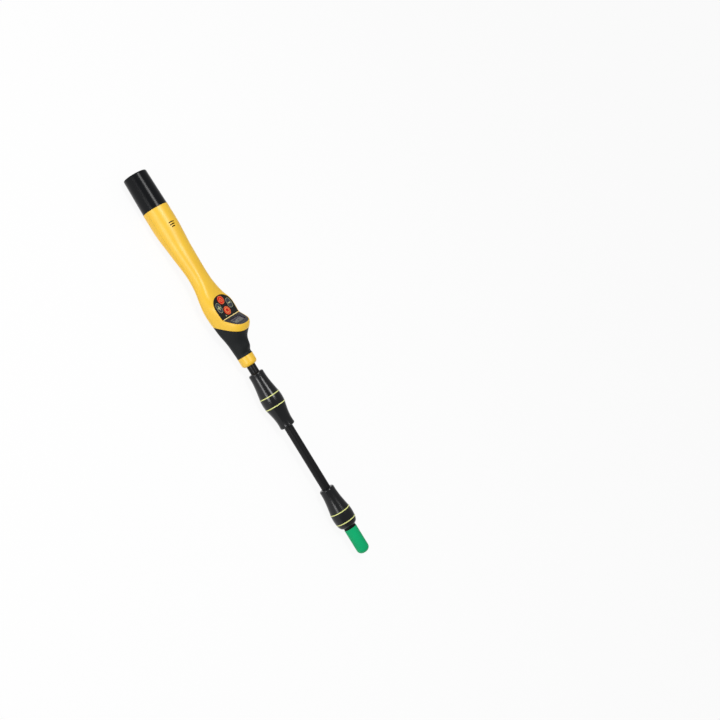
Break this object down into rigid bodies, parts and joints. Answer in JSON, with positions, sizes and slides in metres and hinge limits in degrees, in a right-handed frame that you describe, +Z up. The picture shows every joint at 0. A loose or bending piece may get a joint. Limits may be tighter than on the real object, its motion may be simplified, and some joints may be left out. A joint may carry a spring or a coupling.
{
  "type": "sonde locator",
  "caption": "Hand-held locator wand with a screw-on battery cap, a keypad and tilted display on a bent head, and two antenna bulbs on a thin mast with a coloured tip.",
  "frame": {"origin": "on the surface the wand lies on, under the middle of its length and of its width", "axes": "+X along the wand from the battery cap to the tip, +Z up out of the keypad, +Y to the left when looking from the cap to the tip"},
  "size_m": [0.7556, 0.0592, 0.0645],
  "materials": {
    "yellow_shell": "satin moulded plastic with a fine grain",
    "black_cap": "satin moulded plastic",
    "black_nose": "matte moulded plastic",
    "bulb_black": "glossy moulded plastic",
    "mast_black": "matte fibre-filled plastic tube",
    "stripe_yellow": "bright glossy plastic ring",
    "tip_green": "satin moulded plastic",
    "overlay_black": "fine-textured printed film",
    "overlay_weave": "printed film with a fine woven pattern",
    "key_red": "satin printed key",
    "key_grey": "satin printed key",
    "window_clear": "clear polished window",
    "display_grey": "grey-green liquid crystal display",
    "inner_black": "plain moulded plastic",
    "board_green": "solder mask on glass-fibre board",
    "copper": "enamelled copper wire",
    "contact_brass": "nickel-plated brass",
    "steel": "plated steel",
    "rubber_black": "black rubber",
    "speaker_dark": "speaker basket and magnet",
    "cell": "battery can"
  },
  "bodies": {
    "handle": {"antenna_lead": "rubber_black", "antenna_socket": "inner_black", "battery_carrier": "inner_black", "battery_cells": "cell", "battery_leads": "rubber_black", "battery_neck": "inner_black", "board_screws": "steel", "cap_gasket": "rubber_black", "collar_ring": "yellow_shell", "contact_board": "board_green", "display_board": "board_green", "display_frame": "inner_black", "display_glass": "display_grey", "display_overlay": "overlay_weave", "display_window": "window_clear", "front_shell": "yellow_shell", "key_switches": "inner_black", "keypad_overlay": "overlay_black", "lower_bulb_band": "bulb_black", "lower_bulb_end_dome": "bulb_black", "lower_bulb_rear_bell": "bulb_black", "lower_bulb_stripes": "stripe_yellow", "lower_coil_bobbin": "inner_black", "lower_coil_winding": "copper", "main_board": "board_green", "mast_pin": "steel", "mast_seal": "rubber_black", "mast_tube": "mast_black", "nose_cone": "black_nose", "nose_seal": "rubber_black", "rear_shell": "yellow_shell", "shell_screws": "steel", "speaker": "speaker_dark", "speaker_ring": "inner_black", "tip_cap": "tip_green", "tip_plug": "inner_black", "upper_bulb_band": "bulb_black", "upper_bulb_front_bell": "bulb_black", "upper_bulb_rear_bell": "bulb_black", "upper_bulb_stripes": "stripe_yellow", "upper_coil_bobbin": "inner_black", "upper_coil_winding": "copper"},
    "contact_carriage": {"contact_plate": "contact_brass", "contact_spring": "steel"},
    "cap": {"battery_cap": "black_cap", "plate_rivet": "steel"},
    "power_key": {"power_key": "key_red"},
    "target_key": {"target_key": "key_red"},
    "plus_key": {"plus_key": "key_grey"},
    "minus_key": {"minus_key": "key_grey"}
  },
  "joints": [
    {"name": "cap_travel", "type": "slide", "parent": "handle", "child": "contact_carriage", "axis": [-1, 0, 0], "range_m": [0, 0.009]},
    {"name": "cap_turn", "type": "hinge", "parent": "contact_carriage", "child": "cap", "pos_m": [-0.37775, 0, 0.023], "axis": [-1, 0, 0], "range_deg": [0, 1080]},
    {"name": "power_key_press", "type": "slide", "parent": "handle", "child": "power_key", "axis": [0.0297, 0, -0.9996], "range_m": [0, 0.0005], "stiffness_N_per_m": 600},
    {"name": "target_key_press", "type": "slide", "parent": "handle", "child": "target_key", "axis": [0.0297, 0, -0.9996], "range_m": [0, 0.0005], "stiffness_N_per_m": 600},
    {"name": "plus_key_press", "type": "slide", "parent": "handle", "child": "plus_key", "axis": [0.0297, 0, -0.9996], "range_m": [0, 0.0005], "stiffness_N_per_m": 600},
    {"name": "minus_key_press", "type": "slide", "parent": "handle", "child": "minus_key", "axis": [0.0297, 0, -0.9996], "range_m": [0, 0.0005], "stiffness_N_per_m": 600}
  ],
  "couplings": [
    {"joint": "cap_turn", "follows": "cap_travel", "rad_per_m": 2094.4}
  ]
}
